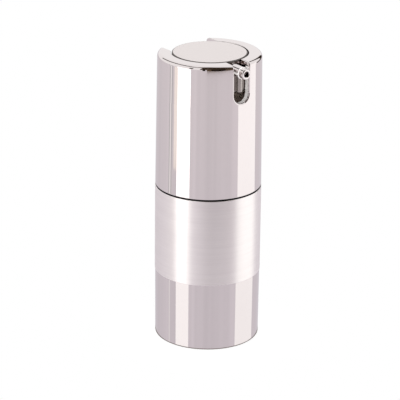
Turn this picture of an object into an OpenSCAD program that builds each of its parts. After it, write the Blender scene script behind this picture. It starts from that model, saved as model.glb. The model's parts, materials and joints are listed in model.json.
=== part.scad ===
// Airless pump bottle of 15 ml with a turning collar, a press button and a side nozzle.
// Millimetres. The origin is the centre of the underside, +Z is up and the nozzle faces -Y.

/* [Outside] */
// Height from the table to the flat top
bottle_h = 92; // [88:0.5:98]
// Height of the turning collar, from the joint to the top
collar_h = 42.6; // [41:0.2:44]
// Outer radius of the brushed band
band_r = 16.5; // [16.2:0.05:17.5]
// Height of the band's lower edge
band_z = 21.6; // [15:0.2:30]
// How far the collar sleeve's foot stands back from the band
sleeve_step = 0.05; // [0:0.01:0.1]
// Draft of the collar sleeve, from its foot to its top
sleeve_draft = 0.45; // [0.2:0.05:0.6]

/* [Lower shell] */
// Wall of the brushed metal band
band_wall = 0.38; // [0.3:0.02:0.6]
// How far the mirror shell stands back from the band
band_step = 0.1; // [0.05:0.01:0.2]
// Draft of the mirror shell, from the band to its foot
shell_draft = 0.1; // [0.05:0.01:0.3]
// Wall of the shell behind the band
shell_wall = 1.22; // [1:0.02:1.4]
// Thickness of the shell's floor
floor_t = 1.4; // [1.2:0.1:2]
// Rounding of the foot edge
foot_round = 0.5; // [0.3:0.1:1]
// Width of the ring that the bottle stands on
foot_ring_w = 2.3; // [1.5:0.1:3.5]
// Radius of the flat pad at the middle of the underside
pad_r = 6; // [4:0.5:8]
// Depth of the recess between pad and ring
recess_t = 0.5; // [0.3:0.1:0.7]
// Diameter of the air holes
vent_d = 1.6; // [1:0.1:2.4]

/* [Container] */
// Air gap between the shell and the product container
air_gap = 1.05; // [0.9:0.05:1.5]
// Wall of the container
container_wall = 1.1; // [0.9:0.05:1.15]
// Thickness of the container's shoulder plate
shoulder_t = 1.2; // [1:0.1:1.6]
// Depth of the shoulder below the joint
shoulder_drop = 5.2; // [5:0.1:6.5]
// Wall of the neck
neck_wall = 1.6; // [1.4:0.1:1.7]
// Height of the neck above the shoulder
neck_h = 7.8; // [7:0.1:9]

/* [Base plug] */
// Height of the plug's ring
plug_h = 3.6; // [2.8:0.1:4.5]
// Width of the plug's ring
plug_ring_w = 1.3; // [1:0.1:1.8]
// Gap under the plug's web for the air
plug_air = 0.8; // [0.5:0.1:1.2]
// Thickness of the plug's web
plug_web = 1; // [0.8:0.1:1.3]

/* [Follower piston] */
// Height of the follower piston
follower_h = 8.2; // [7:0.1:10]
// Height of each sealing lip
lip_h = 1.1; // [0.8:0.1:1.6]
// Depth of the waist between the lips
waist_in = 0.6; // [0.4:0.1:1]
// Wall of the piston's skirt
follower_wall = 1.2; // [1:0.1:1.6]
// Thickness of the piston's crown
crown_t = 1.3; // [1:0.1:1.8]
// Outer radius of the hub under the crown
follower_hub_r = 3; // [2.5:0.1:4]
// Number of stiffening ribs under the crown
follower_ribs = 6; // [4:1:8]
// Height of those ribs
follower_rib_h = 2.2; // [1:0.1:3]

/* [Neck closure] */
// Thickness of the gasket
gasket_t = 0.8; // [0.6:0.1:1.2]
// Thickness of the pump's flange
flange_t = 1.2; // [1:0.1:1.6]
// Thickness of the screw closure's top
closure_top_t = 1.4; // [1.2:0.1:1.8]
// Wall of the screw closure
closure_wall = 1.4; // [1.2:0.05:1.4]
// Height of the closure's foot above the shoulder
closure_lift = 0.8; // [0.5:0.1:1.5]
// Number of grip ribs around the closure
closure_ribs = 20; // [12:2:28]
// Height of a grip rib out of the wall
closure_rib_h = 0.4; // [0.2:0.05:0.4]

/* [Pump] */
// Travel of the button
stroke = 3; // [2.5:0.1:4.5]
// Bore radius of the dosing chamber
bore_r = 4; // [3.8:0.05:4.4]
// Wall of the dosing chamber
housing_wall = 1.4; // [1.2:0.05:1.6]
// Radius of the inlet ball
ball_r = 1.6; // [1.5:0.05:1.7]
// Radius of the hole that the ball closes
seat_r = 1.2; // [1:0.05:1.3]
// Radius of the ball chamber
ball_room_r = 2.2; // [2.1:0.05:2.4]
// Lift of the ball
ball_lift = 0.8; // [0.5:0.05:1]
// Length of the inlet below the ball seat
inlet_h = 2.2; // [1.8:0.1:2.6]
// Bevel on the inlet's lower edge
inlet_bevel = 1; // [0.5:0.1:1.3]
// Thickness of the ball's cage plate
cage_t = 1; // [0.8:0.1:1.4]
// Radius of the rod's foot
rod_foot_r = 3.2; // [2.8:0.05:3.5]
// Thickness of the rod's foot
rod_foot_t = 0.8; // [0.6:0.05:1.2]
// Radius of the rod
rod_r = 1.6; // [1.5:0.05:1.7]
// Radius of the channel in the rod
rod_bore_r = 0.8; // [0.6:0.05:0.9]
// Length of the rod inside the stem
rod_grip = 4.8; // [4:0.1:6]
// Height of the dosing seal
seal_h = 3.5; // [3:0.1:4.5]
// Height of each lip of the dosing seal
seal_lip_h = 1.2; // [0.9:0.1:1.3]
// Height of the edge with which a lip wipes the bore
seal_edge_h = 0.4; // [0.3:0.05:0.5]
// Slip of the dosing seal along the rod
seal_slip = 0.9; // [0.7:0.05:1.2]
// Outer radius of the stem
stem_r = 2.6; // [2.4:0.05:2.8]
// Radius of the channel in the stem
stem_bore_r = 1.2; // [0.9:0.05:1.4]
// Radius of the stem's stop flange
stem_stop_r = 3.4; // [3.2:0.05:3.6]
// Height of the stem's stop flange
stem_stop_h = 2; // [1.5:0.1:2.5]
// Thickness of the pump cap's top
cap_t = 1.5; // [1.2:0.1:2]
// Height of the pump cap's skirt
cap_skirt_h = 4.5; // [3:0.1:6]
// Wall of the pump cap's skirt
cap_wall = 1.2; // [1:0.1:1.5]

/* [Return spring] */
// Diameter of the spring wire
wire_d = 0.7; // [0.5:0.05:0.8]
// Mean radius of the coils
coil_r = 4.7; // [4.6:0.05:5]
// Turns between the two end turns
live_turns = 3; // [2:0.5:4]
// Rise of each end turn
end_rise = 1.25; // [1.2:0.05:1.4]

/* [Black base collar] */
// Wall of the spigot
spigot_wall = 1; // [0.8:0.05:1.1]
// Height of the spigot above the joint
spigot_h = 7.4; // [6.5:0.1:9]
// Height of the snap lip at the spigot's top
snap_h = 1; // [0.8:0.1:1.4]
// Depth of the snap lip
snap_out = 0.4; // [0.3:0.05:0.45]
// Thickness of the black lip that shows in the joint
lip_t = 0.35; // [0.15:0.05:0.4]
// How far the black lip stands back from the band
lip_in = 0.1; // [0.05:0.05:0.3]
// Thickness of the flange under the lip
seat_t = 0.8; // [0.6:0.1:1.2]
// Height of the skirt that plugs into the shell
plug_skirt_h = 3.6; // [2.5:0.1:4]
// Wall of that skirt
plug_skirt_w = 1; // [0.7:0.05:1]

/* [Turning collar] */
// Wall of the sleeve at its top
sleeve_wall = 1.8; // [1.65:0.05:1.95]
// Thickness of the rim flange at the top
rim_t = 1.4; // [1.2:0.1:1.8]
// Rounding of the rim's outer edge
rim_round = 1.3; // [0.8:0.1:1.5]
// Rounding of the edges beside the button
gap_round = 0.25; // [0.15:0.05:0.35]
// Wall of the inner collar
inner_wall = 0.9; // [0.8:0.05:1]
// Height of the inner collar
inner_h = 12; // [10:0.5:16]
// Height of the inner collar's snap bead
bead_h = 1.2; // [0.9:0.1:1.5]
// Number of stiffening ribs on the inner collar
inner_ribs = 12; // [8:2:16]
// Height of those ribs out of the wall
inner_rib_h = 0.8; // [0.5:0.1:1.2]

/* [Nozzle slot and finger notch] */
// Width of the nozzle slot
slot_w = 5.6; // [5.2:0.1:6.5]
// Bevel round the slot
slot_bevel = 0.5; // [0.3:0.05:0.6]
// Width of the finger notch
notch_w = 17.8; // [14:0.2:20]
// Depth of the finger notch
notch_h = 6; // [4:0.1:7]
// Rounding of the notch's lower corners
notch_round = 2.5; // [1.5:0.1:3]

/* [Button and actuator] */
// Radius of the button
button_r = 11.6; // [11:0.05:12]
// Thickness of the button's metal plate
plate_t = 0.7; // [0.6:0.05:1]
// Height of the pedestal under the plate
pedestal_h = 2.5; // [2.3:0.1:3.5]
// Wall of the skirt and pedestal
skirt_wall = 1.2; // [1:0.05:1.4]
// Height of the skirt
skirt_h = 5.8; // [5:0.1:7]
// Thickness of the actuator's roof under the plate
roof_t = 1.3; // [1:0.1:1.6]
// Cover between the nozzle barrel and the plate
barrel_cover = 0.05; // [0.05:0.05:0.3]
// Radius of the nozzle barrel at its root
barrel_r = 2.05; // [1.8:0.05:2.05]
// Radius of the nozzle barrel at its end
barrel_end_r = 1.85; // [1.7:0.05:1.9]
// How far the barrel's end stands out beyond the sleeve's top
barrel_out = 0.2; // [0:0.05:1]
// Length of the nozzle tip beyond the barrel
tip_l = 1.8; // [1.2:0.1:2.5]
// Outer radius of the nozzle tip
tip_r = 1.65; // [1.5:0.05:1.75]
// Radius of the nozzle's opening
orifice_r = 0.87; // [0.6:0.01:0.9]
// Radius of the tip's spigot in the barrel
tip_spigot_r = 1.2; // [1.1:0.05:1.3]
// Length of the tip's spigot
tip_spigot_l = 1.2; // [1:0.1:1.6]
// Width of the key web under the barrel
key_w = 1.8; // [1.4:0.1:3]
// How far the key web's face stands back from the barrel's end
key_back = 0.7; // [0.4:0.05:1.2]
// Radius of the actuator's boss
boss_r = 4.6; // [4.3:0.1:5]
// Radius of the spring flange on the boss
boss_flange_r = 5.6; // [5.5:0.1:6.2]
// Thickness of the spring flange
boss_flange_t = 1.2; // [1:0.1:1.6]
// Height of the spring flange above the pump cap
spring_room = 11; // [10.5:0.1:12.5]
// Length of the boss's nose inside the spring
nose_h = 1.5; // [1:0.1:2]
// Depth of the socket that takes the stem, above the spring flange
socket_h = 6; // [4:0.1:7]
// Number of ribs inside the actuator
actuator_ribs = 6; // [4:1:8]
// Thickness of a moulded rib
rib_t = 1; // [0.8:0.1:1.2]

/* [Clearances] */
// Gap of parts that a thread or a press fit joins
press_gap = 0.05; // [0.03:0.01:0.08]
// Radial gap round the closure's grip ribs and inside the spring
play = 0.15; // [0.1:0.01:0.2]
// Gap between parts that pass each other
gap = 0.3; // [0.25:0.01:0.35]
// Gap that shows above the black lip
joint_gap = 0.15; // [0.1:0.01:0.2]
// Radial clearance of a part that slides in its bore
slide_gap = 0.07; // [0.05:0.01:0.09]
// Radial clearance between spigot and snap bead
turn_gap = 0.15; // [0.1:0.01:0.2]
// Gap between ball and seat
seat_gap = 0.05; // [0.03:0.01:0.08]

/* [Hidden] */
$fn = 72;
eps = 0.05;
far = 40;

// Radii of the lower body and of the sleeve
seat_band_r = band_r - band_wall;
shell_top_r = band_r - band_step;
shell_foot_r = shell_top_r - shell_draft;
sleeve_foot_r = band_r - sleeve_step;
sleeve_top_r = sleeve_foot_r - sleeve_draft;
shell_bore_r = seat_band_r - shell_wall;
container_r = shell_bore_r - air_gap;
container_bore_r = container_r - container_wall;

// Radii from the sleeve inward to the neck
sleeve_bore_r = sleeve_top_r - sleeve_wall;
inner_bore_r = sleeve_bore_r - inner_wall;
snap_r = inner_bore_r - gap;
spigot_r = snap_r - snap_out;
spigot_bore_r = spigot_r - spigot_wall;
closure_r = spigot_bore_r - play - closure_rib_h;
closure_bore_r = closure_r - closure_wall;
neck_r = closure_bore_r - press_gap;
neck_bore_r = neck_r - neck_wall;

// Radii of the actuator, the nozzle and the pump
skirt_r = sleeve_bore_r - gap;
barrel_reach = sleeve_top_r + barrel_out;
tip_y = barrel_reach + tip_l;
key_reach = barrel_reach - key_back;
housing_r = bore_r + housing_wall;
coil_bore_r = coil_r - wire_d / 2 - play;

// Heights of the lower body, from the floor up
joint_z = bottle_h - collar_h;
plug_top_z = floor_t + plug_h;
follower_z = plug_top_z + gap;
shoulder_z = joint_z - shoulder_drop;
ceiling_z = shoulder_z - shoulder_t;
follower_travel = ceiling_z - follower_z - follower_h - gap;

// Heights of the pump, from the neck up
neck_top_z = shoulder_z + neck_h;
flange_z = neck_top_z + gasket_t;
closure_z = flange_z + flange_t;
seat_z = shoulder_z + inlet_h;
ball_z = seat_z + sqrt(pow(ball_r + seat_gap, 2) - pow(seat_r, 2));
cage_z = ball_z + ball_r + ball_lift + 2 * seat_gap;
bore_z = cage_z + cage_t;
rod_z = bore_z + stroke + gap;
seal_z = rod_z + rod_foot_t + 2 * seat_gap;
stem_z = seal_z + seal_h + seal_slip + 2 * seat_gap;
housing_top_z = stem_z + stem_stop_h + gap;
cap_top_z = housing_top_z + cap_t;
port_z = seal_z + seal_slip / 2;
port_r = seal_slip / 2 - eps;

// Heights of the collar and of the actuator, from the top down
sleeve_z = joint_z + lip_t + joint_gap;
spigot_top_z = joint_z + lip_t + spigot_h;
bead_z = spigot_top_z - snap_h - gap - bead_h;
rim_z = bottle_h - rim_t;
rim_bore_r = button_r + gap;
plate_z = bottle_h - plate_t;
ledge_z = plate_z - pedestal_h;
skirt_z = ledge_z - skirt_h;
nozzle_z = plate_z - barrel_cover - barrel_r;
slot_z = skirt_z - stroke - gap + sqrt(pow(slot_w / 2, 2) - pow(key_w / 2, 2));
boss_z = cap_top_z + spring_room;
stem_top_z = boss_z + socket_h;

// A flat ring in the profile plane, from radius a to radius b and from height z to height z + h
module band(a, b, z, h) {
    translate([a, z]) square([b - a, h]);
}

// What a rounded corner takes away: dir points out of the material, along both axes
module round_off(corner, r, dir) {
    side = r + eps;
    translate(corner - r * dir) difference() {
        translate([min(0, dir[0] * side), min(0, dir[1] * side)]) square(side);
        circle(r);
    }
}

// A cylinder along -Y at the nozzle's height, from distance a to distance b
module along_nozzle(a, b, r1, r2) {
    translate([0, -a, nozzle_z]) rotate([90, 0, 0]) cylinder(h = b - a, r1 = r1, r2 = r2);
}

// A flat rib that stands on a radius, from a to b and from height z to z + h, n times around
module ribs(n, a, b, z, h, t, turn = 0) {
    for (i = [0 : n - 1]) {
        rotate(turn + i * 360 / n) translate([a, -t / 2, z]) cube([b - a, t, h]);
    }
}

// Mirror shell of the lower body, with a step for the band and an airy underside
module outer_shell() {
    recess_r = shell_foot_r - foot_ring_w;
    color("silver") difference() {
        rotate_extrude() difference() {
            polygon([[0, 0], [shell_foot_r, 0], [shell_top_r, band_z], [seat_band_r, band_z],
                [seat_band_r, joint_z], [shell_bore_r, joint_z], [shell_bore_r, floor_t], [0, floor_t]]);
            round_off([shell_foot_r, 0], foot_round, [1, -1]);
            round_off([seat_band_r, joint_z], band_wall / 2, [1, 1]);
            band(pad_r, recess_r, -eps, recess_t + eps);
        }
        translate([0, (pad_r + recess_r) / 2, -eps]) cylinder(h = floor_t + 2 * eps, d = vent_d);
    }
}

// Brushed metal band pressed on the shell
module brushed_band() {
    color("gainsboro") rotate_extrude() difference() {
        band(seat_band_r, band_r, band_z, joint_z - band_z);
        round_off([band_r, joint_z], band_wall / 3, [1, 1]);
        round_off([band_r, band_z], band_wall / 3, [1, -1]);
    }
}

// Black ring that closes the lower body, shows as the joint line and carries the turning collar
module base_collar() {
    color("black") rotate_extrude() difference() {
        union() {
            band(spigot_bore_r, spigot_r, shoulder_z, spigot_top_z - shoulder_z);
            band(spigot_r, snap_r, spigot_top_z - snap_h, snap_h);
            band(spigot_r, band_r - lip_in, joint_z, lip_t);
            band(spigot_r, shell_bore_r, joint_z - seat_t, seat_t);
            band(shell_bore_r - plug_skirt_w, shell_bore_r, joint_z - seat_t - plug_skirt_h, plug_skirt_h);
        }
        round_off([snap_r, spigot_top_z], snap_out, [1, 1]);
    }
}

// Product container: a tube that is open below, with a shoulder and a neck
module container() {
    color("white") rotate_extrude() difference() {
        union() {
            band(container_bore_r, container_r, floor_t, shoulder_z - floor_t);
            band(neck_bore_r, container_r, ceiling_z, shoulder_t);
            band(neck_bore_r, neck_r, shoulder_z, neck_h);
        }
        round_off([container_r, shoulder_z], shoulder_t / 2, [1, 1]);
        round_off([neck_r, neck_top_z], neck_wall / 4, [1, 1]);
    }
}

// Vented plate that closes the container's lower end
module base_plug() {
    ring_r = container_bore_r - plug_ring_w;
    color("white") difference() {
        rotate_extrude() union() {
            band(ring_r, container_bore_r, floor_t, plug_h);
            band(0, ring_r, floor_t + plug_air, plug_web);
        }
        translate([0, 0, floor_t]) cylinder(h = plug_h, d = vent_d);
    }
}

// Follower piston: a cup with two sealing lips that rises as the product is used
module follower_piston() {
    lip_r = container_bore_r - slide_gap;
    waist_r = lip_r - waist_in;
    skirt_bore_r = waist_r - follower_wall;
    hub_bore_r = follower_hub_r - follower_wall;
    top_z = follower_z + follower_h;
    color("white") union() {
        rotate_extrude() difference() {
            union() {
                band(skirt_bore_r, waist_r, follower_z, follower_h);
                band(skirt_bore_r, lip_r, follower_z, lip_h);
                band(skirt_bore_r, lip_r, top_z - lip_h, lip_h);
                band(0, waist_r, top_z - crown_t, crown_t);
                band(hub_bore_r, follower_hub_r, follower_z + lip_h, follower_h - lip_h);
            }
            round_off([lip_r, follower_z + lip_h], waist_in * 0.8, [1, 1]);
            round_off([lip_r, top_z - lip_h], waist_in * 0.8, [1, -1]);
        }
        ribs(follower_ribs, follower_hub_r - eps, skirt_bore_r + eps,
            top_z - crown_t - follower_rib_h, follower_rib_h + eps, rib_t);
    }
}

// Gasket between the neck and the pump's flange
module neck_gasket() {
    color("dimgray") rotate_extrude() band(neck_bore_r, neck_r, neck_top_z, gasket_t);
}

// Screw closure that clamps the pump on the neck
module screw_closure() {
    foot_z = shoulder_z + closure_lift;
    top_z = closure_z + closure_top_t;
    color("white") union() {
        rotate_extrude() difference() {
            union() {
                band(closure_bore_r, closure_r, foot_z, top_z - foot_z);
                band(housing_r + press_gap, closure_r, closure_z, closure_top_t);
            }
            round_off([closure_r, top_z], closure_top_t / 2, [1, 1]);
        }
        ribs(closure_ribs, closure_r - eps, closure_r + closure_rib_h, foot_z, closure_z - foot_z, rib_t);
    }
}

// Dosing chamber with its flange, ball seat and inlet
module pump_housing() {
    room_wall_r = ball_room_r + housing_wall;
    wide_z = cage_z - rod_foot_t;
    color("white") rotate_extrude() difference() {
        union() {
            band(0, housing_r, wide_z, housing_top_z - wide_z);
            band(0, neck_r, flange_z, flange_t);
            polygon([[0, shoulder_z], [room_wall_r - inlet_bevel, shoulder_z],
                [room_wall_r, shoulder_z + inlet_bevel], [room_wall_r, wide_z - housing_wall],
                [housing_r, wide_z], [0, wide_z]]);
        }
        band(-eps, bore_r, cage_z, far);
        band(-eps, ball_room_r, seat_z, far);
        band(-eps, seat_r, shoulder_z - eps, far);
    }
}

// Steel ball of the inlet valve
module inlet_ball() {
    color("lightgray") translate([0, 0, ball_z]) sphere(ball_r);
}

// Plate that keeps the ball in its room, with openings for the flow
module ball_cage() {
    hole_ring_r = (ball_r + bore_r) / 2;
    color("white") difference() {
        translate([0, 0, cage_z]) cylinder(h = cage_t, r = bore_r);
        for (i = [0 : 3]) {
            rotate(45 + i * 90) translate([hole_ring_r, 0, cage_z - eps])
                cylinder(h = cage_t + 2 * eps, r = rod_bore_r);
        }
    }
}

// Rod that carries the dosing seal, with a channel and cross ports above its foot
module piston_rod() {
    color("white") difference() {
        rotate_extrude() difference() {
            union() {
                band(0, rod_foot_r, rod_z, rod_foot_t);
                band(0, rod_r, rod_z, stem_z + rod_grip - rod_z);
            }
            band(-eps, rod_bore_r, port_z - port_r, far);
            round_off([rod_foot_r, rod_z], rod_foot_t / 2, [1, -1]);
        }
        for (turn = [0, 90]) {
            rotate([90, 0, turn]) translate([0, port_z, -rod_r - eps])
                cylinder(h = 2 * (rod_r + eps), r = port_r);
        }
    }
}

// Dosing seal that slips on the rod and opens its ports
module dosing_seal() {
    lip_r = bore_r - slide_gap;
    hub_r = (rod_r + bore_r) / 2;
    hub_bore_r = rod_r + slide_gap;
    top_z = seal_z + seal_h;
    color("dimgray") rotate_extrude() polygon([[hub_bore_r, seal_z], [hub_r, seal_z],
        [lip_r, seal_z + seal_edge_h], [lip_r, seal_z + 2 * seal_edge_h], [hub_r, seal_z + seal_lip_h],
        [hub_r, top_z - seal_lip_h], [lip_r, top_z - 2 * seal_edge_h], [lip_r, top_z - seal_edge_h],
        [hub_r, top_z], [hub_bore_r, top_z]]);
}

// Stem that joins the pump to the actuator, with a stop flange below the pump cap
module stem() {
    color("white") rotate_extrude() difference() {
        union() {
            band(0, stem_stop_r, stem_z, stem_stop_h);
            band(0, stem_r, stem_z, stem_top_z - stem_z);
        }
        band(-eps, rod_r, stem_z - eps, rod_grip + eps);
        band(-eps, stem_bore_r, stem_z, far);
        round_off([stem_r, stem_top_z], (stem_r - stem_bore_r) / 4, [1, 1]);
    }
}

// Cap that closes the dosing chamber, guides the stem and seats the spring
module pump_cap() {
    guide_r = stem_r + slide_gap;
    color("white") rotate_extrude() difference() {
        union() {
            band(guide_r, housing_r + cap_wall, housing_top_z, cap_t);
            band(housing_r, housing_r + cap_wall, housing_top_z - cap_skirt_h, cap_skirt_h);
            band(guide_r, coil_bore_r, cap_top_z, wire_d);
        }
        round_off([housing_r + cap_wall, cap_top_z], cap_wall / 2, [1, 1]);
    }
}

// Return spring: one wire along a helix, with a slower rise in the end turns
coil_low_z = cap_top_z + wire_d / 2 + press_gap;
coil_high_z = boss_z - wire_d / 2 - press_gap;
turns = live_turns + 2;
live_rise = (coil_high_z - coil_low_z - 2 * end_rise) / live_turns;
rings_per_turn = 16;
wire_sides = 6;
rings = turns * rings_per_turn;
function coil_z(t) = coil_low_z + end_rise * min(t, 1) + live_rise * max(0, min(t - 1, live_turns))
    + end_rise * max(0, t - 1 - live_turns);
function wire_centre(t) = [coil_r * cos(360 * t), coil_r * sin(360 * t), coil_z(t)];
function wire_point(t, s) = let (a = 360 * t, b = 360 * s / wire_sides, r = coil_r + wire_d / 2 * cos(b))
    [r * cos(a), r * sin(a), coil_z(t) + wire_d / 2 * sin(b)];
function quad(i, s) = let (n = (s + 1) % wire_sides, a = i * wire_sides)
    [[a + s, a + wire_sides + s, a + n], [a + n, a + wire_sides + s, a + wire_sides + n]];

module return_spring() {
    points = [for (i = [0 : rings]) for (s = [0 : wire_sides - 1]) wire_point(i / rings_per_turn, s)];
    sides = [for (i = [0 : rings - 1]) for (s = [0 : wire_sides - 1]) for (f = quad(i, s)) f];
    low_end = [for (s = [1 : wire_sides - 2]) [0, s, s + 1]];
    last = rings * wire_sides;
    high_end = [for (s = [1 : wire_sides - 2]) [last, last + s + 1, last + s]];
    echo(spring_gap = min([for (i = [0 : rings - rings_per_turn])
        norm(wire_centre(i / rings_per_turn + 1) - wire_centre(i / rings_per_turn))]) - wire_d);
    color("gray") polyhedron(points, concat(sides, low_end, high_end));
}

// Bevelled opening for the nozzle, cut through the wall and the rim
module nozzle_slot() {
    half = slot_w / 2;
    face_y = sleeve_top_r - slot_bevel;
    depth = sleeve_foot_r - face_y + eps;
    wide = half + depth;
    out_y = face_y + depth;
    translate([0, -button_r, slot_z]) rotate([90, 0, 0]) cylinder(h = far, r = half);
    translate([-half, -far, slot_z]) cube([slot_w, far - button_r + gap, far]);
    translate([0, -face_y, slot_z]) rotate([90, 0, 0]) cylinder(h = depth, r1 = half, r2 = wide);
    translate([0, 0, slot_z]) linear_extrude(far)
        polygon([[-half, -face_y], [half, -face_y], [wide, -out_y], [-wide, -out_y]]);
}

// Notch in the rim that leaves room for the fingertip
module finger_notch() {
    half = notch_w / 2;
    low_z = bottle_h - notch_h;
    translate([0, far, low_z + notch_round]) rotate([90, 0, 0]) {
        for (side = [-1, 1]) {
            translate([side * (half - notch_round), 0, 0]) cylinder(h = far, r = notch_round);
        }
    }
    translate([notch_round - half, 0, low_z]) cube([notch_w - 2 * notch_round, far, far]);
    translate([-half, 0, low_z + notch_round]) cube([notch_w, far, far]);
}

// Mirror sleeve of the turning collar, drafted outside, with slot and notch
module outer_sleeve() {
    color("silver") difference() {
        rotate_extrude() difference() {
            polygon([[sleeve_bore_r, sleeve_z], [sleeve_foot_r, sleeve_z], [sleeve_top_r, bottle_h],
                [rim_bore_r, bottle_h], [rim_bore_r, rim_z], [sleeve_bore_r, rim_z]]);
            round_off([sleeve_top_r, bottle_h], rim_round, [1, 1]);
            round_off([rim_bore_r, bottle_h], gap_round, [-1, 1]);
            round_off([sleeve_foot_r, sleeve_z], gap_round, [1, -1]);
        }
        nozzle_slot();
        finger_notch();
    }
}

// Inner collar: snaps on the spigot, turns with the sleeve and stiffens it
module inner_collar() {
    foot_z = sleeve_z + press_gap;
    top_z = foot_z + inner_h;
    rib_z = spigot_top_z + gap;
    color("dimgray") union() {
        rotate_extrude() difference() {
            union() {
                band(inner_bore_r, sleeve_bore_r, foot_z, inner_h);
                band(spigot_r + turn_gap, sleeve_bore_r, bead_z, bead_h);
            }
            round_off([spigot_r + turn_gap, bead_z], bead_h / 3, [-1, -1]);
        }
        ribs(inner_ribs, inner_bore_r - inner_rib_h, inner_bore_r + press_gap, rib_z, top_z - rib_z, rib_t);
    }
}

// Actuator: pedestal, skirt, boss with socket, ribs, nozzle barrel and key web
module actuator() {
    pedestal_bore_r = button_r - skirt_wall;
    skirt_bore_r = skirt_r - skirt_wall;
    roof_z = plate_z - roof_t;
    color("silver") difference() {
        union() {
            rotate_extrude() difference() {
                union() {
                    band(0, button_r, ledge_z - skirt_wall, plate_z - ledge_z + skirt_wall);
                    band(0, skirt_r, skirt_z, skirt_h);
                }
                round_off([skirt_r, ledge_z], skirt_wall / 2, [1, 1]);
                band(boss_r, pedestal_bore_r, skirt_z - eps, roof_z - skirt_z + eps);
                band(boss_r, skirt_bore_r, skirt_z - eps, skirt_h - skirt_wall + eps);
            }
            rotate_extrude() union() {
                band(0, boss_r, boss_z, skirt_z - boss_z + eps);
                band(0, boss_flange_r, boss_z, boss_flange_t);
                band(0, coil_bore_r, boss_z - nose_h, nose_h);
            }
            ribs(actuator_ribs, boss_r - eps, skirt_bore_r + eps, skirt_z + skirt_wall,
                skirt_h - 2 * skirt_wall + eps, rib_t, 180 / actuator_ribs);
            along_nozzle(boss_r - rib_t, button_r, barrel_r, barrel_r);
            along_nozzle(button_r, barrel_reach, barrel_r, barrel_end_r);
            translate([-key_w / 2, -key_reach, skirt_z]) cube([key_w, key_reach - skirt_r + skirt_wall / 2,
                nozzle_z - skirt_z]);
        }
        translate([0, 0, boss_z - nose_h - eps]) cylinder(h = socket_h + nose_h + eps, r = stem_r);
        translate([0, 0, stem_top_z - eps]) cylinder(h = nozzle_z - stem_top_z + eps, r = stem_bore_r);
        along_nozzle(0, barrel_reach + eps, orifice_r, orifice_r);
        along_nozzle(barrel_reach - tip_spigot_l, barrel_reach + eps, tip_spigot_r, tip_spigot_r);
    }
}

// Metal plate on top of the button
module button_plate() {
    color("gainsboro") rotate_extrude() difference() {
        band(0, button_r, plate_z, plate_t);
        round_off([button_r, bottle_h], gap_round, [1, 1]);
    }
}

// Nozzle tip: a ring with a rounded face and a spigot in the barrel
module nozzle_tip() {
    color("silver") translate([0, 0, nozzle_z]) rotate([90, 0, 0]) rotate_extrude() difference() {
        union() {
            band(orifice_r, tip_r, barrel_reach, tip_l);
            band(orifice_r, tip_spigot_r, barrel_reach - tip_spigot_l, tip_spigot_l);
        }
        round_off([tip_r, tip_y], gap_round, [1, 1]);
        round_off([orifice_r, tip_y], gap_round, [-1, 1]);
    }
}

outer_shell();
brushed_band();
base_collar();
container();
base_plug();
follower_piston();
neck_gasket();
screw_closure();
pump_housing();
inlet_ball();
ball_cage();
piston_rod();
dosing_seal();
stem();
pump_cap();
return_spring();
outer_sleeve();
inner_collar();
actuator();
button_plate();
nozzle_tip();
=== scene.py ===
"""Airless pump bottle: smooth surfaces, finishes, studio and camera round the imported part.

Sizes in the classes are millimetres and meshes are metres. Z is up and the nozzle faces -Y.
"""

import json
import logging
import math
from dataclasses import dataclass, field
from enum import Enum
from typing import Any, Callable, Mapping, Sequence

import bmesh
import bpy
import numpy as np
from mathutils import Matrix, Vector
from numpy.typing import NDArray

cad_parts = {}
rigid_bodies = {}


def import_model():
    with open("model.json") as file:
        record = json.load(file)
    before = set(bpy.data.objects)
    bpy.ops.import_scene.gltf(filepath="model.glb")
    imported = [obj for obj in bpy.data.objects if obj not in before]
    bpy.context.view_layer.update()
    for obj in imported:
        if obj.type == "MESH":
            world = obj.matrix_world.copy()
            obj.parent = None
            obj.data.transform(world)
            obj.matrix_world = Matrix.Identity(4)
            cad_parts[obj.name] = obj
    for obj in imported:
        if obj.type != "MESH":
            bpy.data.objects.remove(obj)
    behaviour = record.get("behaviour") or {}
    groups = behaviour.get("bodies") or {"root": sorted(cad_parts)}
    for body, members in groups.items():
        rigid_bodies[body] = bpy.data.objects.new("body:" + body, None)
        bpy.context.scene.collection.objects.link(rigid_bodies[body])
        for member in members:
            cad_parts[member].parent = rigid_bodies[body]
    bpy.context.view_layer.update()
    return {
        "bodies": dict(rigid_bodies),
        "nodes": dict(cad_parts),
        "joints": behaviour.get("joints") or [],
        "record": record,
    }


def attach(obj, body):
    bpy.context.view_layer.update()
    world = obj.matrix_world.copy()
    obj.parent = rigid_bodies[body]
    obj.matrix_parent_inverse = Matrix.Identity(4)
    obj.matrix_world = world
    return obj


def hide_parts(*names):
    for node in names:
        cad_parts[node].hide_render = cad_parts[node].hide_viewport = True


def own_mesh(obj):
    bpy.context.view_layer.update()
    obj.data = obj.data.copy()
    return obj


Array = NDArray[np.float64]
Triple = tuple[float, float, float]
Choice = Callable[[Array, Array, Array, Array], NDArray[np.bool_]]
Piece = bpy.types.Object
Nodes = Mapping[str, Piece]
Material = bpy.types.Material
Tree = bpy.types.NodeTree
Node = bpy.types.Node
Socket = bpy.types.NodeSocket
MM = 0.001
# A Mix node's sockets share their names, so they go by number: two numbers, two colours, the mixed colour.
NUMBER_A, NUMBER_B, COLOUR_A, COLOUR_B, COLOUR_OUT = 2, 3, 6, 7, 2
# Room for rounding when faces are picked by place, and the distance of guard points from an arc.
NEAR, GUARD = 0.01, 0.03
LOG = logging.getLogger("bottle")


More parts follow.
